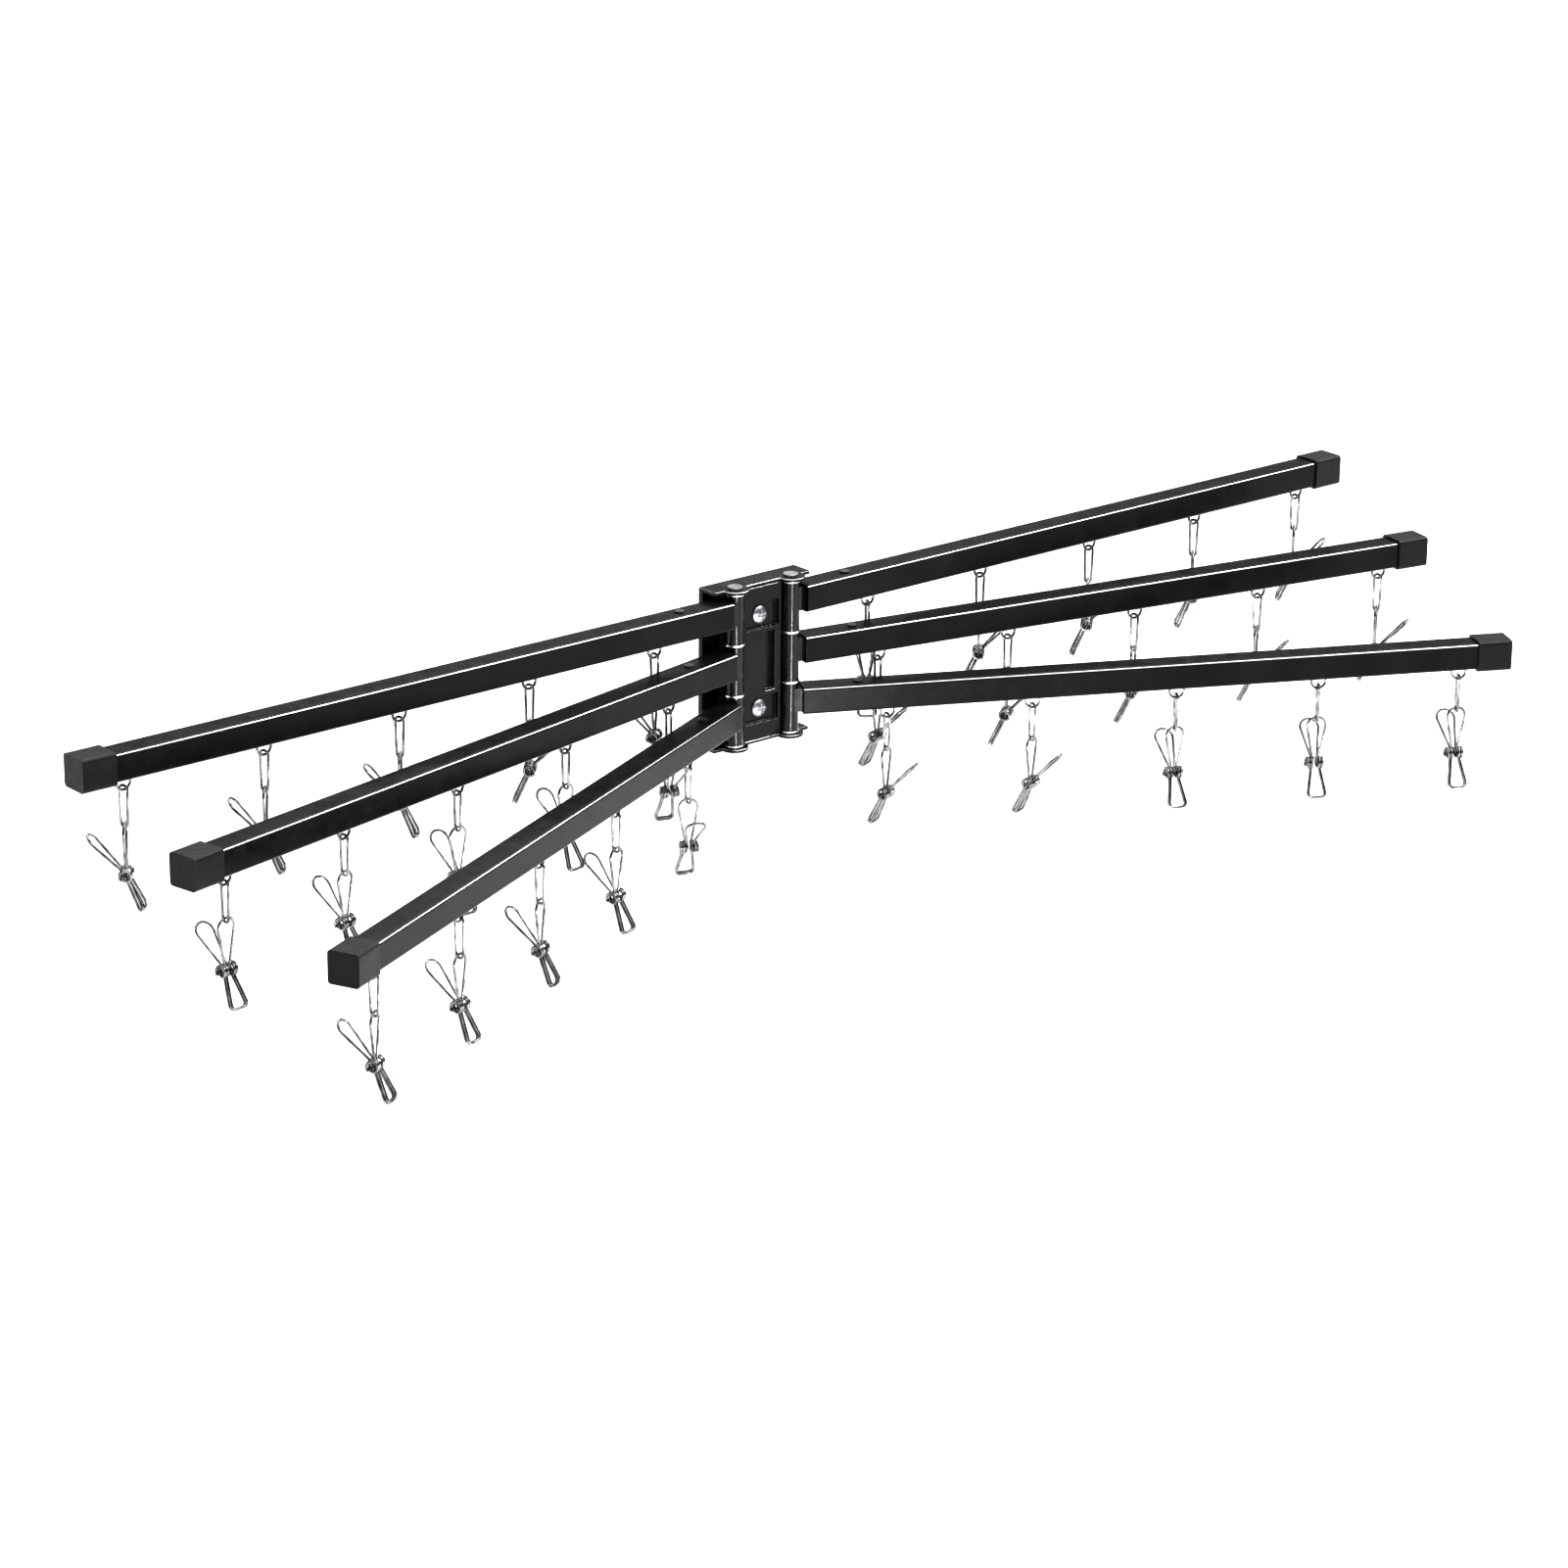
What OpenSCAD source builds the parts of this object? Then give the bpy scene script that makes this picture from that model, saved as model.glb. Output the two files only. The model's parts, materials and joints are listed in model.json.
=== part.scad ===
// Wall-mounted swing-arm airer: a two-post hinge bracket carries three square-tube
// arms on each side, and each arm carries five wire pegs on links below it.
// Millimetres. X runs along the wall, -Y points into the room, +Z is up.
// The origin is the middle of the bracket's back face, on the wall.

/* [Arms] */
// Distance from the hinge axis to the outer face of an arm's end cap
arm_reach = 550; // [400:1:800]
// Outside size of the square tube
tube_size = 20; // [16:0.5:22]
// Wall of the tube
tube_wall = 1.2; // [0.8:0.1:2]
// Radius of the tube's outer corners
tube_corner = 2.2; // [1:0.1:3]
// Where the tube starts, outside the hinge barrel
barrel_to_tube = 2; // [1:0.1:8]
// Angles of the upper, middle and lower arms of the left side, from the wall
left_angles = [0, 11.4, 24.6];
// Angles of the upper, middle and lower arms of the right side, from the wall
right_angles = [0, 11.4, 26.6];

/* [End caps] */
// How much the end cap stands proud of the tube on each side
cap_lip = 1.6; // [1:0.1:4]
// Length of the end cap
cap_len = 26; // [16:1:40]
// Thickness of the end cap's closed end
cap_end = 3; // [2:0.1:5]
// Gap between the end cap and the tube
cap_clearance = 0.1; // [0.05:0.05:0.3]

/* [Hinges] */
// Distance from the bracket's middle to each hinge axis
axis_x = 25.7; // [22:0.1:36]
// Distance from the wall to the hinge axes
axis_y = 19; // [15:0.1:30]
// Height from one arm's level to the next
level_pitch = 38; // [34:0.5:50]
// Height of an arm's tube above the middle of its hinge barrel
tube_rise = 5; // [0:0.5:7]
// Radius of the hinge barrels
barrel_r = 6.6; // [5:0.1:8]
// Radius of the hinge pins
pin_r = 3; // [2:0.1:4]
// Radial clearance between a hinge pin and the barrels
pin_clearance = 0.05; // [0.02:0.01:0.1]
// Gap above and below each barrel
barrel_gap = 0.15; // [0.1:0.05:0.4]
// Radius of the spacer washers
washer_r = 7.3; // [6:0.1:9]
// Thickness of the spacer washers
washer_t = 1.5; // [1:0.1:3]
// Length of the hinge block's tongue inside the tube
tongue_len = 50; // [30:1:70]
// Gap between the tongue and the inside of the tube
tongue_clearance = 0.15; // [0.05:0.05:0.3]
// Radius of the rivet that holds the tongue in the tube
rivet_r = 2; // [1.5:0.1:3]

/* [Bracket] */
// Half the width of the wall plate
plate_half_w = 44; // [38:1:60]
// Thickness of the wall plate
plate_t = 5; // [3:0.5:6]
// Thickness of the top and bottom flanges
flange_t = 2.5; // [2:0.5:5]
// Radius of the flanges' ears around the pins
ear_r = 10.5; // [8.5:0.5:12]
// Width of the middle block between the hinge posts
block_w = 34; // [28:1:40]
// Distance between the two wall screws
screw_pitch = 71; // [60:1:90]
// Radius of the wall screws' shanks
screw_r = 2.5; // [2:0.1:3.5]
// Radius of the wall screws' heads
screw_head_r = 6.8; // [5:0.1:7]
// How far the wall screws go into the wall
screw_depth = 34; // [20:1:60]

/* [Pegs] */
// Pegs on each arm
pegs = 5; // [3:1:6]
// Distance from the hinge axis to the innermost peg
first_peg = 73; // [65:1:90]
// Distance from one peg to the next
peg_pitch = 110; // [60:1:120]
// Radius of the wire of the eyes, links and pegs
wire_r = 1.05; // [0.8:0.05:1.2]
// Radius of an eye ring, to the middle of its wire
eye_r = 5.6; // [5:0.1:8]
// How far an eye hangs below the tube
eye_drop = 10.3; // [9.5:0.1:12]
// How much shorter a link is than the height from one level to the next
link_short = 7; // [5:0.5:9]
// Width of a link, outside
link_w = 8.6; // [8:0.1:10]
// Length of a peg's handles
handle_len = 37; // [30:1:45]
// Width of a peg's handles
peg_w = 16; // [13:0.5:18]
// Width of a peg's jaws at their tips
jaw_w = 15; // [12:0.5:16]
// Length of a peg's jaws
jaw_len = 27; // [20:1:35]
// Radius of a peg's coil
coil_r = 4.2; // [3:0.1:5]
// Angle between a peg's two handles
handle_spread = 43; // [30:1:55]
// Angle of a peg's jaws from the vertical
jaw_tilt = 24; // [10:1:35]
// Gap between two wires that hang in each other
wire_gap = 1; // [0.9:0.05:1.4]

/* [Hidden] */
$fn = 48;
LEVELS = ["upper", "middle", "lower"];

// hinge posts, from the bracket's middle height
tube_start = barrel_r + barrel_to_tube;
barrel_h = level_pitch - washer_t - 2 * barrel_gap;
flange_z = 1.5 * level_pitch + washer_t / 2 + barrel_gap;
pin_hole_r = pin_r + pin_clearance;
pin_head_r = pin_r + 2.4;
pin_head_h = 1.6;
pin_tip = 1;
retainer_h = 1.2;
pin_end = flange_z + flange_t + retainer_h + pin_tip;
// middle block and its screw pads
pad_h = 20;
pad_depth = 3.5;
pad_margin = 2;
groove_w = 8.5;
groove_x = 3;
screw_neck = 0.4;
neck_end = 0.5;
seat_gap = 0.05;
slot_w = 1.6;
slot_l = 8;
slot_h = 2.6;
head_rim = 1;
screw_hole_r = screw_r + screw_neck + 0.25;
screw_head_h = 3.6;
block_gap = 0.5;
// tube and cap
tube_inside = tube_size - 2 * tube_wall;
cap_size = tube_size + 2 * cap_lip;
cap_corner = 2.6;
rivet_x = tube_start + 42;
rivet_head_r = rivet_r + 1.5;
rivet_head_h = 1.2;
rivet_gap = 0.02;
// pegs, as heights from the tube's middle; the free handle of a peg stays below the next arm
link_h = level_pitch - link_short;
eye_slot_gap = 0.2;
tube_bottom = -tube_size / 2;
eye_low = tube_bottom - eye_drop + wire_r;
hang = 2 * wire_r + wire_gap;
link_high = eye_low + hang;
link_low = link_high - link_h + 2 * wire_r;
handle_high = link_low + hang;
coil_z = handle_high + wire_r - handle_len;
coil_gap_r = 0.6;
coil_w = 13;
handle_foot = 3.4;
jaw_foot = 5;

// Direction in which each peg's free handle points, from the innermost peg outwards:
// 0 is towards the room, 90 towards the hinge, 180 towards the wall
peg_turns = [
    [[-145, 48, -132, -134, -131, -134], [-30, 176, 171, 184, 178, 172], [-48, 172, 184, 176, 188, 180]],
    [[-145, -48, -45, -49, -46, -48], [-30, -48, -44, -46, -49, -47], [-48, -44, 174, 184, 178, 180]]
];

function side_index(side) = side == "left" ? 0 : 1;
function arm_angle(side, level) = side == "left" ? left_angles[level] : right_angles[level];
function tube_z(level) = (1 - level) * level_pitch + tube_rise;
function peg_x(i) = first_peg + i * peg_pitch;
// a link turns halfway between the arm and its peg
function half_turn(turn) = let (t = (turn + 450) % 180 - 90) t / 2;

// Puts an arm's own frame in place: x outwards along the arm, y towards the room
module on_arm(side, level) {
    mirror([side == "left" ? 0 : 1, 0, 0])
        translate([-axis_x, -axis_y, tube_z(level)])
            rotate([0, 0, 180 + arm_angle(side, level)])
                children();
}

module rounded_square(size, r) {
    square([size, size - 2 * r], center = true);
    square([size - 2 * r, size], center = true);
    for (x = [-1, 1], y = [-1, 1])
        translate([x * (size / 2 - r), y * (size / 2 - r)]) circle(r);
}

// A bar of the given section outline, along x from x0 to x1
module along_x(x0, x1) {
    translate([x0, 0, 0]) rotate([90, 0, 90]) linear_extrude(x1 - x0) children();
}

// A flat closed loop of wire, standing in the x-z plane, from z = 0 down to z = -length
module wire_loop(length, width) {
    r = width / 2;
    rotate([90, 0, 0])
        linear_extrude(2 * wire_r, center = true)
            difference() {
                stadium(length, r);
                translate([0, -2 * wire_r]) stadium(length - 4 * wire_r, r - 2 * wire_r);
            }
}

// A flat closed loop of wire, round at z = 0 and tapering to its foot at z = -length
module teardrop_loop(length, width, foot) {
    r = width / 2;
    rotate([90, 0, 0])
        linear_extrude(2 * wire_r, center = true)
            difference() {
                teardrop(length, r, foot);
                translate([0, -2 * wire_r]) teardrop(length, r - 2 * wire_r, foot - 2 * wire_r);
            }
}

module teardrop(length, r, foot) {
    translate([0, -r]) circle(r);
    polygon([[-r, -r], [r, -r], [foot, -length], [-foot, -length]]);
}

module stadium(length, r) {
    translate([0, -r]) circle(r);
    translate([0, -length + r]) circle(r);
    translate([-r, -length + r]) square([2 * r, length - 2 * r]);
}

module bracket_outline() {
    translate([-plate_half_w, -axis_y]) square([2 * plate_half_w, axis_y]);
    for (x = [-axis_x, axis_x]) translate([x, -axis_y]) circle(ear_r);
}

module wall_bracket() {
    color("#17181a") difference() {
        union() {
            translate([-plate_half_w, -plate_t, -flange_z - flange_t])
                cube([2 * plate_half_w, plate_t, 2 * (flange_z + flange_t)]);
            for (z = [-flange_z - flange_t, flange_z])
                translate([0, 0, z]) linear_extrude(flange_t) bracket_outline();
        }
        for (x = [-axis_x, axis_x])
            translate([x, -axis_y, -pin_end]) cylinder(r = pin_hole_r, h = 2 * pin_end);
        for (z = [-1, 1])
            translate([0, 1, z * screw_pitch / 2])
                rotate([90, 0, 0]) cylinder(r = screw_hole_r, h = plate_t + 2);
    }
}

// Fills the space between the hinge posts, with two sunk pads for the screws
module middle_block() {
    depth = axis_y - plate_t;
    height = 2 * (flange_z - block_gap);
    color("#1d1e20") difference() {
        translate([-block_w / 2, -axis_y, -height / 2]) cube([block_w, depth - seat_gap, height]);
        for (z = [-1, 1]) translate([0, 0, z * screw_pitch / 2]) {
            translate([pad_margin - block_w / 2, -axis_y - 1, -pad_h / 2])
                cube([block_w - 2 * pad_margin, pad_depth + 1, pad_h]);
            rotate([90, 0, 0]) cylinder(r = screw_hole_r, h = 2 * axis_y);
        }
        translate([groove_x, -axis_y - 1, -screw_pitch / 2 + pad_h / 2 + 3])
            cube([groove_w, pad_depth + 2, screw_pitch - pad_h - 6]);
        // room for the barrels on both sides
        for (x = [-axis_x, axis_x])
            translate([x, -axis_y, -height]) cylinder(r = washer_r + 1, h = 2 * height);
    }
}

// A screw's threaded end lies in the wall; its thicker neck, which starts just behind
// the wall's face, fills the bracket's hole
module wall_screws() {
    seat = axis_y - pad_depth;
    color("#c9ccce")
        for (z = [-1, 1]) translate([0, 0, z * screw_pitch / 2]) rotate([90, 0, 0]) {
            translate([0, 0, -screw_depth]) cylinder(r = screw_r, h = screw_depth - neck_end);
            translate([0, 0, -neck_end]) cylinder(r = screw_r + screw_neck, h = seat + neck_end + head_rim);
            difference() {
                translate([0, 0, seat + seat_gap]) rotate_extrude() screw_head_outline();
                for (slot = [[slot_w, slot_l, slot_h], [slot_l, slot_w, slot_h]])
                    translate([0, 0, seat + screw_head_h]) cube(slot, center = true);
            }
        }
}

module screw_head_outline() {
    dome_h = screw_head_h - head_rim;
    dome_r = (screw_head_r ^ 2 + dome_h ^ 2) / (2 * dome_h);
    square([screw_head_r, head_rim]);
    translate([0, head_rim]) intersection() {
        square([screw_head_r, dome_h]);
        translate([0, dome_h - dome_r]) circle(dome_r, $fn = 96);
    }
}

module hinge_pins() {
    color("#b9bcc0")
        for (x = [-axis_x, axis_x]) translate([x, -axis_y, 0]) {
            translate([0, 0, -pin_end])
                cylinder(r = pin_r, h = pin_end + flange_z + flange_t + pin_head_h);
            translate([0, 0, flange_z + flange_t + seat_gap]) cylinder(r = pin_head_r, h = pin_head_h);
        }
}

module pin_retainers() {
    color("#8d9094")
        for (x = [-axis_x, axis_x])
            translate([x, -axis_y, -flange_z - flange_t - seat_gap - retainer_h]) difference() {
                cylinder(r = pin_head_r, h = retainer_h);
                translate([0, 0, -1]) cylinder(r = pin_hole_r, h = retainer_h + 2);
            }
}

module spacer_washers() {
    color("#d9dbdd")
        for (x = [-axis_x, axis_x], level = [-1.5, -0.5, 0.5, 1.5])
            translate([x, -axis_y, level * level_pitch - washer_t / 2]) difference() {
                cylinder(r = washer_r, h = washer_t);
                translate([0, 0, -1]) cylinder(r = pin_hole_r, h = washer_t + 2);
            }
}

module tube(side, level) {
    color("#1b1c1e") on_arm(side, level) difference() {
        along_x(tube_start, arm_reach - cap_end - cap_clearance) difference() {
            rounded_square(tube_size, tube_corner);
            rounded_square(tube_inside, max(tube_corner - tube_wall, 0.3));
        }
        translate([rivet_x, 0, -tube_size]) cylinder(r = rivet_r, h = 2 * tube_size);
        for (i = [0 : pegs - 1])
            translate([peg_x(i), 0, -tube_size]) linear_extrude(tube_size) eye_slot();
    }
}

module end_cap(side, level) {
    color("#0f1011") on_arm(side, level) difference() {
        along_x(arm_reach - cap_len, arm_reach) rounded_square(cap_size, cap_corner);
        along_x(arm_reach - cap_len - 1, arm_reach - cap_end)
            rounded_square(tube_size + 2 * cap_clearance, tube_corner + cap_clearance);
    }
}

module hinge_block(side, level) {
    tongue = tube_inside - 2 * tongue_clearance;
    color("#141517") on_arm(side, level) difference() {
        union() {
            translate([0, 0, -tube_rise - barrel_h / 2]) cylinder(r = barrel_r, h = barrel_h);
            along_x(0, tube_start + tongue_len)
                square([min(tongue, 2 * barrel_r - 1), tongue], center = true);
        }
        translate([0, 0, -level_pitch]) cylinder(r = pin_hole_r, h = 2 * level_pitch);
        translate([rivet_x, 0, -tube_size]) cylinder(r = rivet_r, h = 2 * tube_size);
    }
}

module rivet(side, level) {
    half = tube_size / 2 + rivet_gap;
    color("#a9acb0") on_arm(side, level) translate([rivet_x, 0, 0]) {
        translate([0, 0, -half]) cylinder(r = rivet_r - rivet_gap, h = 2 * half);
        translate([0, 0, half]) cylinder(r = rivet_head_r, h = rivet_head_h);
        translate([0, 0, -half - rivet_head_h]) cylinder(r = rivet_head_r, h = rivet_head_h);
    }
}

// The slot in the tube's lower wall that an eye ring passes through
module eye_slot() {
    half = wire_r + eye_slot_gap;
    square([2 * eye_r, 2 * half], center = true);
    for (x = [-eye_r, eye_r]) translate([x, 0]) circle(half);
}

// Rings of wire that hang through the slots in the tube's lower wall
module eyes(side, level) {
    color("#c4c7ca") on_arm(side, level)
        for (i = [0 : pegs - 1])
            translate([peg_x(i), 0, eye_low + eye_r]) rotate([90, 0, 0])
                rotate_extrude() translate([eye_r, 0]) circle(wire_r, $fn = 24);
}

module one_link(turn) {
    rotate([0, 0, 90 + half_turn(turn)])
        translate([0, 0, link_high + wire_r]) wire_loop(link_h, link_w);
}

// One peg: a hanging handle, a free handle, a coil and two jaws
module one_peg(turn) {
    rotate([0, 0, turn]) translate([0, 0, coil_z]) {
        for (spread = [0, -handle_spread])
            rotate([spread, 0, 0]) translate([0, 0, handle_len])
                teardrop_loop(handle_len, peg_w, handle_foot);
        rotate([0, 90, 0]) cylinder(r = coil_r, h = coil_w, center = true);
        rotate([180 - jaw_tilt, 0, 0])
            for (y = [-1, 1])
                translate([0, y * (wire_r + coil_gap_r / 2), jaw_len])
                    teardrop_loop(jaw_len, jaw_w, jaw_foot);
    }
}

module links(side, level) {
    color("#c4c7ca") on_arm(side, level)
        for (i = [1 : pegs - 1])
            translate([peg_x(i), 0, 0]) one_link(peg_turns[side_index(side)][level][i]);
}

module hanging_pegs(side, level) {
    color("#c4c7ca") on_arm(side, level)
        for (i = [1 : pegs - 1])
            translate([peg_x(i), 0, 0]) one_peg(peg_turns[side_index(side)][level][i]);
}

module inner_peg(side, level) {
    turn = peg_turns[side_index(side)][level][0];
    color("#c4c7ca") on_arm(side, level) translate([peg_x(0), 0, 0]) {
        one_link(turn);
        one_peg(turn);
    }
}

wall_bracket();
middle_block();
wall_screws();
hinge_pins();
pin_retainers();
spacer_washers();
for (side = ["left", "right"], level = [0 : 2]) {
    name = str(side, "_", LEVELS[level], "_");
    tube(side, level);
    end_cap(side, level);
    hinge_block(side, level);
    rivet(side, level);
    eyes(side, level);
    links(side, level);
    hanging_pegs(side, level);
    inner_peg(side, level);
}
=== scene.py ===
import json
import math
import bmesh
import bpy
from mathutils import Matrix, Vector


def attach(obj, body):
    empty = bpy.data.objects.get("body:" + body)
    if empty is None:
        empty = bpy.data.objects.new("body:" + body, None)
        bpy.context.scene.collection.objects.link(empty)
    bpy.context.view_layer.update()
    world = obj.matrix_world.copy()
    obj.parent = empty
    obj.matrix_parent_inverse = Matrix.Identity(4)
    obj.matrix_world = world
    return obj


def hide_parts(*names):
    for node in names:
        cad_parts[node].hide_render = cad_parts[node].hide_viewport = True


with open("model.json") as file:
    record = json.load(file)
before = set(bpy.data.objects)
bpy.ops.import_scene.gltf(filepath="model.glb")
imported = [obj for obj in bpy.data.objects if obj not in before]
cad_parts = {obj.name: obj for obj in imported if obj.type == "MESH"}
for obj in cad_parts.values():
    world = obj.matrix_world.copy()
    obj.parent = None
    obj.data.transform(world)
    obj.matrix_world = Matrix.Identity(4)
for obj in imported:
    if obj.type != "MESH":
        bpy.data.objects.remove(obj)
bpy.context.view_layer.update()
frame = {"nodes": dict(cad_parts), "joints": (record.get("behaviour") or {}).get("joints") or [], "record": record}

# Wall-mounted swing-arm airer. The CAD frame holds the bracket, the tubes, the caps and the
# hinges. This script gives them their finish, and bends the links and pegs from round wire.
MM = 0.001
SIDES = ("left", "right")
LEVELS = ("upper", "middle", "lower")

# Sizes of the wire pieces, in millimetres. The wire, reaches, lengths, widths and angles are those of
# part.scad. The bends are those of a real wire, inside them.
FIRST_PEG = 73
PEG_PITCH = 110
PEGS = 5
WIRE_R = 1.05
# From the middle of one wire to the middle of the wire that hangs in it
HANG = 3.1
LINK_H = 31
LINK_TOP_R = 3.2
LINK_FOOT_R = 2.6
HANDLE_LEN = 37
HANDLE_FOOT = 1.9
HANDLE_WAIST = 5.0
PEG_W = 16
JAW_W = 15
JAW_LEN = 27
JAW_TOP = 3.6
JAW_WAIST = 5.0
JAW_CORNER = 3.0
HANDLE_SPREAD = 43
JAW_TILT = 24
COIL_R = 3.9
COIL_TURNS = 2.4
COIL_START = 1.2
# Between wires that lie side by side
SIDE_GAP = 0.1
# Direction of each peg's free handle, in degrees, from the innermost peg outwards
PEG_TURNS = {
    "left": {"upper": (-145, 48, -132, -134, -131), "middle": (-30, 176, 171, 184, 178),
             "lower": (-48, 172, 184, 176, 188)},
    "right": {"upper": (-145, -48, -45, -49, -46), "middle": (-30, -48, -44, -46, -49),
              "lower": (-48, -44, 174, 184, 178)},
}


# ---------------------------------------------------------------- materials
def new_material(name):
    """An empty node material: (material, its nodes, its links, its Principled shader)."""
    mat = bpy.data.materials.new(name)
    mat.use_nodes = True
    nodes = mat.node_tree.nodes
    return mat, nodes, mat.node_tree.links, nodes["Principled BSDF"]


def noise(nodes, links, scale, detail=3.0, stretch=(1, 1, 1)):
    """A noise texture in object coordinates, stretched along the axes."""
    coord = nodes.new("ShaderNodeTexCoord")
    mapping = nodes.new("ShaderNodeMapping")
    mapping.inputs["Scale"].default_value = stretch
    tex = nodes.new("ShaderNodeTexNoise")
    tex.inputs["Scale"].default_value = scale
    tex.inputs["Detail"].default_value = detail
    links.new(coord.outputs["Object"], mapping.inputs["Vector"])
    links.new(mapping.outputs["Vector"], tex.inputs["Vector"])
    return tex


def spread(nodes, links, source, low, high, socket):
    """Drives a socket from a texture, between two values."""
    ramp = nodes.new("ShaderNodeMapRange")
    ramp.inputs["From Min"].default_value = 0.3
    ramp.inputs["From Max"].default_value = 0.7
    ramp.inputs["To Min"].default_value = low
    ramp.inputs["To Max"].default_value = high
    links.new(source.outputs["Fac"], ramp.inputs["Value"])
    links.new(ramp.outputs["Result"], socket)


def tint(nodes, links, source, dark, light, socket):
    """Drives a colour socket from a texture, between two colours."""
    ramp = nodes.new("ShaderNodeValToRGB")
    ramp.color_ramp.elements[0].position = 0.35
    ramp.color_ramp.elements[0].color = (*dark, 1)
    ramp.color_ramp.elements[1].position = 0.7
    ramp.color_ramp.elements[1].color = (*light, 1)
    links.new(source.outputs["Fac"], ramp.inputs["Fac"])
    links.new(ramp.outputs["Color"], socket)


def bump(nodes, links, source, shader, strength, depth):
    """Fine relief from a texture."""
    node = nodes.new("ShaderNodeBump")
    node.inputs["Strength"].default_value = strength
    node.inputs["Distance"].default_value = depth
    links.new(source.outputs["Fac"], node.inputs["Height"])
    links.new(node.outputs["Normal"], shader.inputs["Normal"])


def coated_metal(name, dark, light, rough, gloss):
    """Satin black powder coat: fine orange peel and cloudy gloss."""
    mat, nodes, links, shader = new_material(name)
    cloud = noise(nodes, links, 28, 4)
    tint(nodes, links, cloud, dark, light, shader.inputs["Base Color"])
    spread(nodes, links, noise(nodes, links, 90, 5), rough - 0.05, rough + 0.07, shader.inputs["Roughness"])
    bump(nodes, links, noise(nodes, links, 1700, 2), shader, 0.16, 0.0002)
    shader.inputs["Specular IOR Level"].default_value = gloss
    return mat


def painted_highlight_edges(mat, low, high, rough, colour):
    """Adds a painted highlight: bright metal mixed in on the upper edges, standing in for the highlight they
    catch.

    Faces whose normal rises between low and high (its z part) show the metal.
    """
    nodes = mat.node_tree.nodes
    links = mat.node_tree.links
    shader = nodes["Principled BSDF"]
    fade = 0.12
    split = nodes.new("ShaderNodeSeparateXYZ")
    links.new(nodes.new("ShaderNodeNewGeometry").outputs["True Normal"], split.inputs["Vector"])
    rise = nodes.new("ShaderNodeMapRange")
    rise.inputs["From Min"].default_value = low
    rise.inputs["From Max"].default_value = low + fade
    links.new(split.outputs["Z"], rise.inputs["Value"])
    fall = nodes.new("ShaderNodeMapRange")
    fall.inputs["From Min"].default_value = high
    fall.inputs["From Max"].default_value = high - fade
    links.new(split.outputs["Z"], fall.inputs["Value"])
    # Mask of the painted highlight: the upward-tilted edge facets
    highlight_mask = nodes.new("ShaderNodeMath")
    highlight_mask.operation = "MULTIPLY"
    links.new(rise.outputs["Result"], highlight_mask.inputs[0])
    links.new(fall.outputs["Result"], highlight_mask.inputs[1])
    highlight_metal = nodes.new("ShaderNodeBsdfPrincipled")
    highlight_metal.inputs["Base Color"].default_value = (*colour, 1)
    highlight_metal.inputs["Metallic"].default_value = 1.0
    highlight_metal.inputs["Roughness"].default_value = rough
    mix = nodes.new("ShaderNodeMixShader")
    links.new(highlight_mask.outputs["Value"], mix.inputs["Fac"])
    links.new(shader.outputs["BSDF"], mix.inputs[1])
    links.new(highlight_metal.outputs["BSDF"], mix.inputs[2])
    links.new(mix.outputs["Shader"], nodes["Material Output"].inputs["Surface"])


def moulded_plastic(name, dark, light, rough):
    """Black moulded plastic with a spark-eroded grain."""
    mat, nodes, links, shader = new_material(name)
    tint(nodes, links, noise(nodes, links, 45, 3), dark, light, shader.inputs["Base Color"])
    spread(nodes, links, noise(nodes, links, 160, 4), rough - 0.06, rough + 0.08, shader.inputs["Roughness"])
    bump(nodes, links, noise(nodes, links, 2600, 3), shader, 0.3, 0.00015)
    shader.inputs["Specular IOR Level"].default_value = 0.1
    return mat


def steel(name, dark, light, rough, grain, stretch=(1, 1, 1)):
    """Bare steel with fine drawing or polishing marks."""
    mat, nodes, links, shader = new_material(name)
    shader.inputs["Metallic"].default_value = 1.0
    tint(nodes, links, noise(nodes, links, 140, 4), dark, light, shader.inputs["Base Color"])
    marks = noise(nodes, links, grain, 4, stretch)
    spread(nodes, links, marks, rough - 0.05, rough + 0.08, shader.inputs["Roughness"])
    bump(nodes, links, marks, shader, 0.12, 0.0001)
    return mat


BLACK_DARK = (0.002, 0.002, 0.0022)
BLACK_LIGHT = (0.004, 0.004, 0.0045)
FINISH = {
    "bracket": coated_metal("bracket_coat", BLACK_DARK, BLACK_LIGHT, 0.26, 0.08),
    "arm_tube": coated_metal("tube_coat", BLACK_DARK, BLACK_LIGHT, 0.24, 0.05),
    "hinge_block": coated_metal("hinge_coat", BLACK_DARK, BLACK_LIGHT, 0.15, 0.16),
    "end_cap": moulded_plastic("cap_plastic", BLACK_DARK, BLACK_LIGHT, 0.42),
    "wire": steel("drawn_wire", (0.05, 0.05, 0.055), (0.26, 0.265, 0.27), 0.16, 900, (1, 1, 0.15)),
    "washer": steel("bright_washer", (0.78, 0.79, 0.80), (0.92, 0.92, 0.93), 0.22, 700),
    "screw_steel": steel("screw_steel", (0.26, 0.27, 0.28), (0.42, 0.43, 0.44), 0.28, 600),
    "fastener": steel("dull_steel", (0.04, 0.04, 0.045), (0.10, 0.10, 0.11), 0.34, 500),
}
# Painted highlight: bright metal on the upper edges of the tubes and of the bracket, standing in for their edge
# highlights
painted_highlight_edges(FINISH["arm_tube"], 0.42, 0.80, 0.2, (0.50, 0.51, 0.52))
painted_highlight_edges(FINISH["bracket"], 0.25, 0.97, 0.3, (0.55, 0.56, 0.57))


# ---------------------------------------------------------------- CAD nodes
WELD_MM = 0.002


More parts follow.
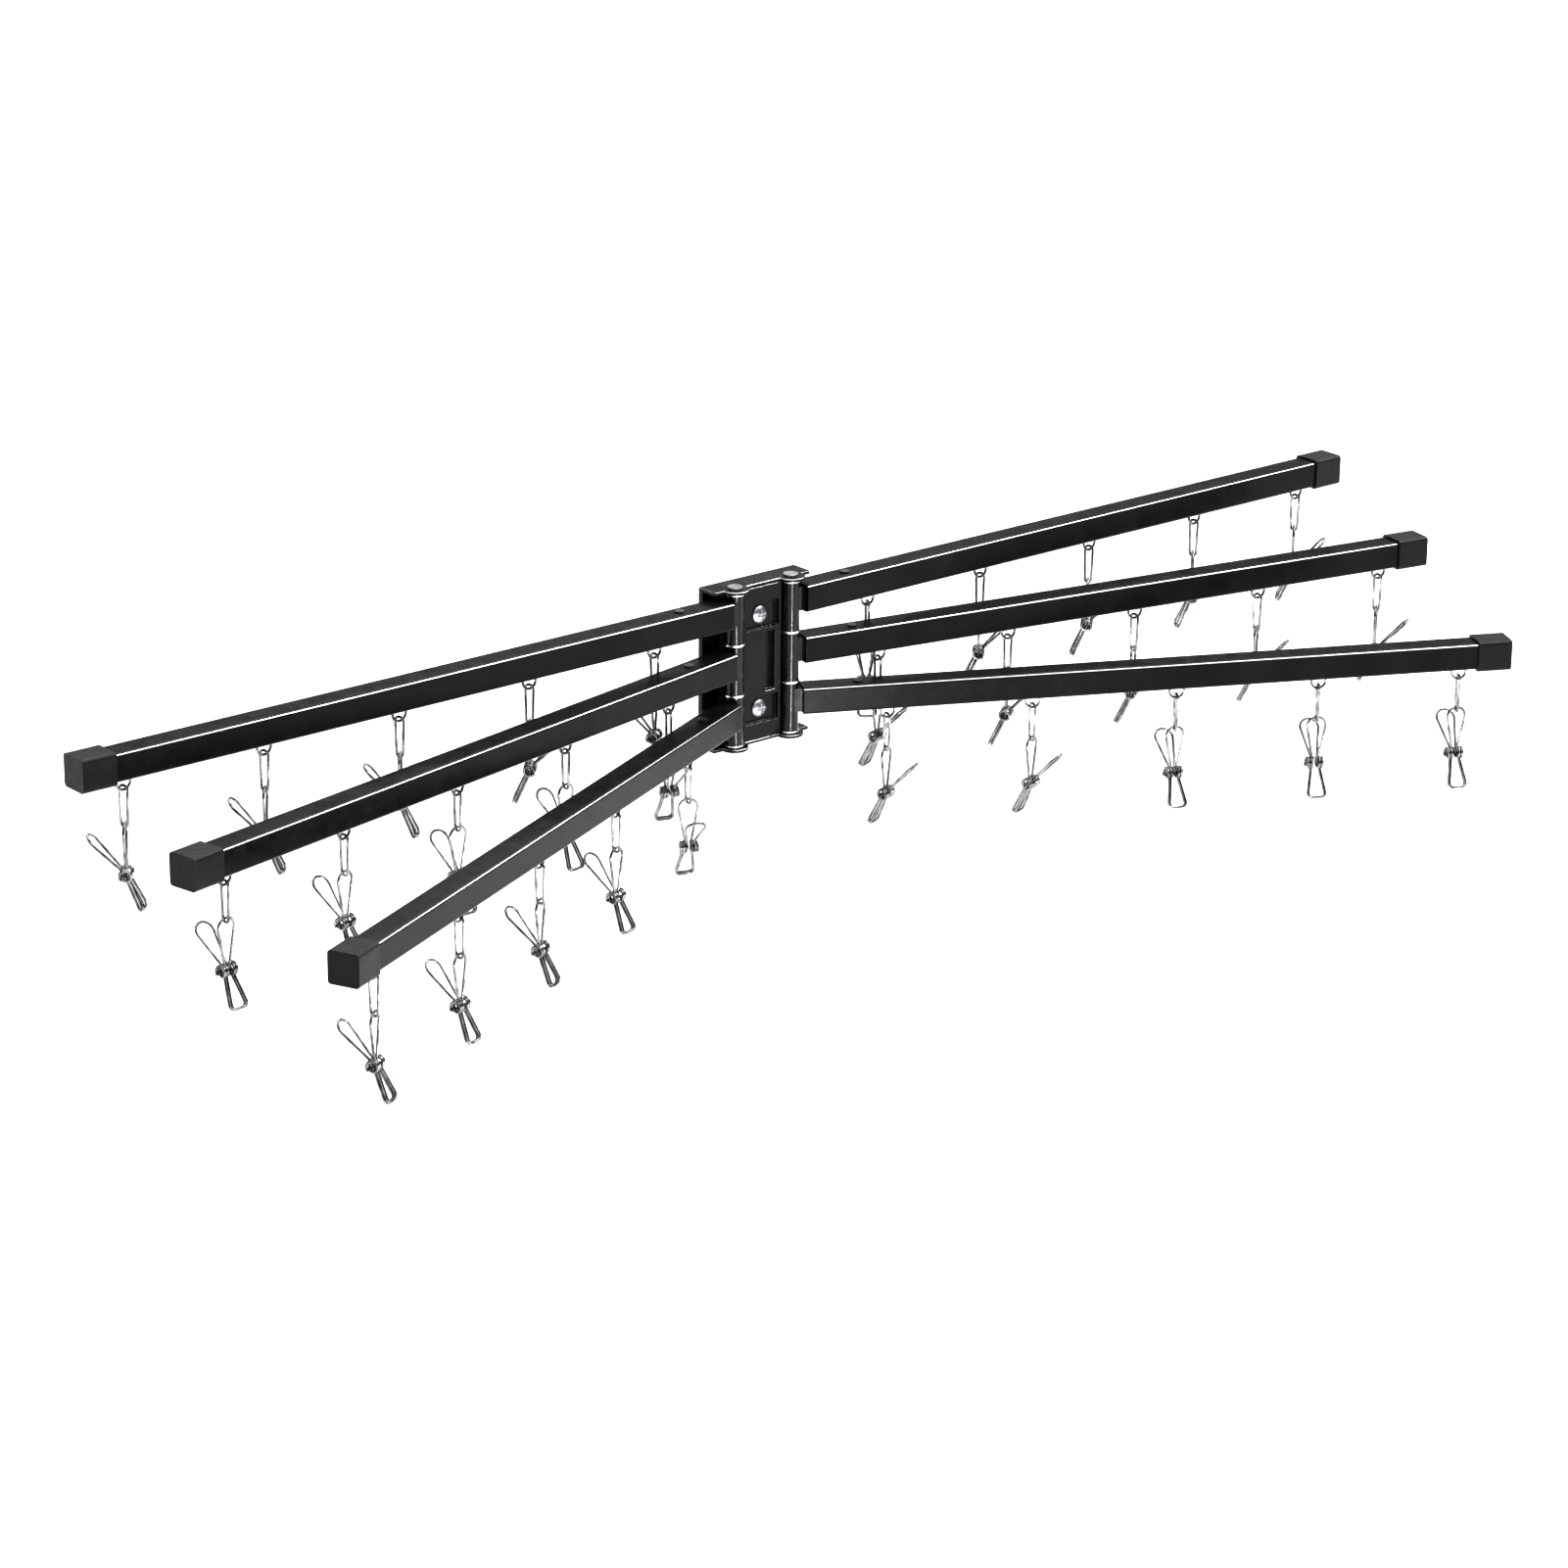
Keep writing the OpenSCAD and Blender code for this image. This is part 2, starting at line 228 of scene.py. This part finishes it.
def finish_node(node, slot_name, edge_mm):
    """Gives a CAD node its material and small rounded edges."""
    mesh = node.data
    mesh.materials.clear()
    mesh.materials.append(FINISH[slot_name])
    for face in mesh.polygons:
        face.material_index = 0
        face.use_smooth = True
    weld = node.modifiers.new("weld", "WELD")
    weld.merge_threshold = WELD_MM * MM
    if edge_mm:
        edge = node.modifiers.new("edges", "BEVEL")
        edge.width = edge_mm * MM
        edge.segments = 3
        edge.limit_method = "ANGLE"
        edge.angle_limit = math.radians(35)
        edge.use_clamp_overlap = True
    flat = node.modifiers.new("flat_faces", "WEIGHTED_NORMAL")
    flat.mode = "FACE_AREA"
    flat.weight = 100
    flat.keep_sharp = True


# The width of each kind of piece's rounded edges, in millimetres
EDGES = {"wall_bracket": 0.6, "middle_block": 0.6, "end_cap": 0.9, "spacer_washers": 0.25,
         "hinge_pins": 0.4, "wall_screws": 0.15, "tube": 0, "rivet": 0.45}
for part in frame["record"]["subparts"]:
    kind = part["node"]
    for side in SIDES:
        for level in LEVELS:
            kind = kind.removeprefix(f"{side}_{level}_")
    finish_node(frame["nodes"][part["node"]], part["material_slot"], EDGES.get(kind, 0.2))


# ---------------------------------------------------------------- wire pieces
def arc(centre, radius, start, end, steps):
    """Points (across, up) on an arc, angles in degrees from +across towards +up."""
    angles = [math.radians(start + (end - start) * i / steps) for i in range(steps + 1)]
    return [(centre[0] + radius * math.cos(a), centre[1] + radius * math.sin(a)) for a in angles]


def upright(outline):
    """Outline points (across, up) as 3-D points in the x-z plane."""
    return [Vector((x, 0, z)) for x, z in outline]


def sweep(mesh, path, closed, place):
    """Adds round wire along path to mesh, with a frame carried from point to point."""
    sides = 10
    count = len(path)
    rings = []
    normal = None
    for i, point in enumerate(path):
        before = path[i - 1] if closed or i else point
        after = path[(i + 1) % count] if closed or i < count - 1 else point
        ahead = (after - before).normalized()
        if normal is None:
            normal = ahead.orthogonal().normalized()
        normal = (normal - ahead * normal.dot(ahead)).normalized()
        side = ahead.cross(normal)
        ring = []
        for k in range(sides):
            a = 2 * math.pi * k / sides
            spot = point + WIRE_R * (math.cos(a) * normal + math.sin(a) * side)
            ring.append(mesh.verts.new(place @ spot))
        rings.append(ring)
    for i in range(count if closed else count - 1):
        low, high = rings[i], rings[(i + 1) % count]
        shift = 0
        if closed and i == count - 1:
            gaps = [(high[s].co - low[0].co).length for s in range(sides)]
            shift = gaps.index(min(gaps))
        for k in range(sides):
            beside = (k + 1) % sides
            mesh.faces.new((low[k], low[beside], high[(beside + shift) % sides], high[(k + shift) % sides]))
    if not closed:
        mesh.faces.new(list(reversed(rings[0])))
        mesh.faces.new(rings[-1])


def link_path():
    """A slim closed link, wider at the top, from z = 0 down."""
    top = -LINK_TOP_R - WIRE_R
    foot = -LINK_H + WIRE_R + LINK_FOOT_R
    return upright(arc((0, top), LINK_TOP_R, 0, 180, 12) + arc((0, foot), LINK_FOOT_R, 180, 360, 10))


def handle_path():
    """A teardrop from the coil at z = 0 up to a round bow."""
    bow = PEG_W / 2 - WIRE_R
    start = 1.0
    waist = HANDLE_FOOT + 0.5
    outline = [(-HANDLE_FOOT, start), (-waist, HANDLE_WAIST)]
    outline += arc((0, HANDLE_LEN - WIRE_R - bow), bow, 196, -16, 18)
    outline += [(waist, HANDLE_WAIST), (HANDLE_FOOT, start)]
    return upright(outline)


def jaw_path():
    """A jaw that flares from the coil at z = 0 down to a wide rounded foot."""
    middle = JAW_W / 2 - WIRE_R - JAW_CORNER
    low = -JAW_LEN + WIRE_R + JAW_CORNER
    waist = JAW_TOP - 0.2
    outline = [(-JAW_TOP, 0), (-waist, -JAW_WAIST)]
    outline += arc((-middle, low), JAW_CORNER, 176, 262, 7)
    outline += arc((middle, low), JAW_CORNER, 278, 364, 7)
    outline += [(waist, -JAW_WAIST), (JAW_TOP, 0)]
    return upright(outline)


def coil_path(hand):
    """Half of the peg's spring: a helix about the x axis, on the side that hand (-1 or 1) says."""
    steps_per_turn = 16
    steps = round(COIL_TURNS * steps_per_turn)
    pitch = 2 * WIRE_R + SIDE_GAP
    points = []
    for i in range(steps + 1):
        turns = COIL_TURNS * i / steps
        a = 2 * math.pi * turns
        across = hand * (COIL_START + pitch * turns)
        points.append(Vector((across, COIL_R * math.sin(a), COIL_R * math.cos(a))))
    return points


def add_peg(mesh, place):
    """One peg in mesh: place puts its coil's middle and its turn."""
    spread_turn = Matrix.Rotation(math.radians(-HANDLE_SPREAD), 4, "X")
    jaw_turn = Matrix.Rotation(math.radians(-JAW_TILT), 4, "X")
    sweep(mesh, handle_path(), False, place)
    sweep(mesh, handle_path(), False, place @ spread_turn)
    for out in (-1, 1):
        offset = Matrix.Translation((0, out * (WIRE_R + SIDE_GAP), 0))
        sweep(mesh, jaw_path(), False, place @ jaw_turn @ offset)
    for hand in (-1, 1):
        sweep(mesh, coil_path(hand), False, place)


def half_turn(turn):
    """A link turns halfway between the arm and its peg."""
    return ((turn + 450) % 180 - 90) / 2


def arm_place(side, level):
    """A matrix from the arm's own frame, in millimetres, to the shared frame in metres.

    Its x runs outwards along the arm, its y towards the room, and z = 0 is at the eyes' lowest wire.
    """
    joints = {j["name"]: j for j in frame["joints"]}
    sway = joints[f"{side}_{level}_pegs_sway"]
    along = Vector(sway["axis"])
    along *= -1 if (along.x > 0) == (side == "left") else 1
    room = Vector((along.y, -along.x, 0)) * (1 if side == "right" else -1)
    turn = Matrix((along, room, Vector((0, 0, 1)))).transposed().to_4x4()
    return Matrix.Translation(Vector(sway["pos_m"])) @ turn @ Matrix.Scale(MM, 4)


def wire_piece(name, mesh, body, *nodes):
    """Turns mesh into a piece that rides on body and stands for the CAD nodes."""
    bmesh.ops.recalc_face_normals(mesh, faces=mesh.faces)
    data = bpy.data.meshes.new(name)
    mesh.to_mesh(data)
    mesh.free()
    for face in data.polygons:
        face.use_smooth = True
    data.materials.append(FINISH["wire"])
    piece = bpy.data.objects.new(name, data)
    bpy.context.scene.collection.objects.link(piece)
    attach(piece, body)
    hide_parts(*nodes)


def peg_spot(arm, number):
    """The place of a peg's eye along the arm, counted from the hinge."""
    return arm @ Matrix.Translation((FIRST_PEG + number * PEG_PITCH, 0, 0))


def add_link(mesh, spot, turn):
    """The link that hangs in the eye at spot."""
    lift = Matrix.Translation((0, 0, HANG + WIRE_R))
    across = Matrix.Rotation(math.radians(90 + half_turn(turn)), 4, "Z")
    sweep(mesh, link_path(), True, spot @ across @ lift)


def add_hanging_peg(mesh, spot, turn):
    """The peg that hangs in the link at spot."""
    handle_top = 2 * HANG - LINK_H + 2 * WIRE_R
    coil = Matrix.Translation((0, 0, handle_top + WIRE_R - HANDLE_LEN))
    add_peg(mesh, spot @ Matrix.Rotation(math.radians(turn), 4, "Z") @ coil)


for side in SIDES:
    for level in LEVELS:
        label = f"{side}_{level}"
        arm = arm_place(side, level)
        turns = PEG_TURNS[side][level]
        inner = bmesh.new()
        add_link(inner, peg_spot(arm, 0), turns[0])
        add_hanging_peg(inner, peg_spot(arm, 0), turns[0])
        wire_piece(f"{label}_inner_peg_wire", inner, f"{label}_arm", f"{label}_inner_peg")
        links, pegs = bmesh.new(), bmesh.new()
        for number in range(1, PEGS):
            add_link(links, peg_spot(arm, number), turns[number])
            add_hanging_peg(pegs, peg_spot(arm, number), turns[number])
        wire_piece(f"{label}_links_wire", links, f"{label}_pegs_hanging", f"{label}_links")
        wire_piece(f"{label}_pegs_wire", pegs, f"{label}_pegs_hanging", f"{label}_pegs")


# ---------------------------------------------------------------- stage, light and camera
def area_light(name, spot, aim, power, size, size_y, along=None):
    """A rectangular lamp; along is the direction its long side runs in."""
    light = bpy.data.lights.new(name, "AREA")
    light.energy = power
    light.shape = "RECTANGLE"
    light.size = size
    light.size_y = size_y
    lamp = bpy.data.objects.new(name, light)
    bpy.context.scene.collection.objects.link(lamp)
    lamp.location = spot
    back = (Vector(spot) - Vector(aim)).normalized()
    side = Vector(along or (1, 0, 0))
    side = (side - back * side.dot(back)).normalized()
    lamp.rotation_euler = Matrix((side, back.cross(side), back)).transposed().to_euler()


def pale_floor():
    """A wide matt floor below the pegs."""
    floor_z = -0.42
    reach = 14
    data = bpy.data.meshes.new("floor")
    corners = [(x * reach, y * reach, floor_z) for x, y in ((-1, -1), (1, -1), (1, 1), (-1, 1))]
    data.from_pydata(corners, [], [(0, 1, 2, 3)])
    floor = bpy.data.objects.new("floor", data)
    bpy.context.scene.collection.objects.link(floor)
    mat, nodes, links, shader = new_material("pale_floor")
    patches = noise(nodes, links, 3, 2)
    tint(nodes, links, patches, (0.90, 0.90, 0.90), (0.93, 0.93, 0.93), shader.inputs["Base Color"])
    shader.inputs["Roughness"].default_value = 0.8
    data.materials.append(mat)


pale_floor()
bpy.context.scene.view_settings.view_transform = "Standard"
world = bpy.data.worlds.new("studio")
bpy.context.scene.world = world
world.use_nodes = True
world.node_tree.nodes["Background"].inputs["Color"].default_value = (0.95, 0.97, 1.0, 1)
world.node_tree.nodes["Background"].inputs["Strength"].default_value = 0.25
# The middle of the bracket, where the lamps and the camera aim
HUB = (0, -0.019, 0.005)
area_light("edge", (1.45, -0.6, 1.5), HUB, 60, 1.9, 0.5, (-0.56, -0.42, 0.41))
area_light("post", (-0.30, -0.97, -0.34), HUB, 9, 0.04, 0.25)
area_light("ceiling", (0, -1.0, 3.6), (0, -0.6, 0), 420, 6, 6)
area_light("far_floor", (3.0, 4.0, 4.5), (3.0, 4.0, 0), 600, 7, 7)

# The viewing direction and roll, and the distance and offsets that put the bracket in its place in view
VIEW_TURN = math.radians(39.84)
VIEW_DROP = math.radians(19.93)
VIEW_ROLL = math.radians(0.58)
DISTANCE = 3.564
OFFSET_RIGHT = 0.0164
OFFSET_UP = -0.0920
camera_data = bpy.data.cameras.new("camera")
camera_data.lens = 114.04
camera_data.sensor_width = 36
camera = bpy.data.objects.new("camera", camera_data)
bpy.context.scene.collection.objects.link(camera)
camera.rotation_euler = (math.pi / 2 - VIEW_DROP, 0, -VIEW_TURN)
turn = camera.rotation_euler.to_matrix()
camera.location = Vector(HUB) + turn @ Vector((OFFSET_RIGHT, OFFSET_UP, DISTANCE))
camera.rotation_euler = (turn @ Matrix.Rotation(VIEW_ROLL, 3, "Z")).to_euler()
bpy.context.scene.camera = camera
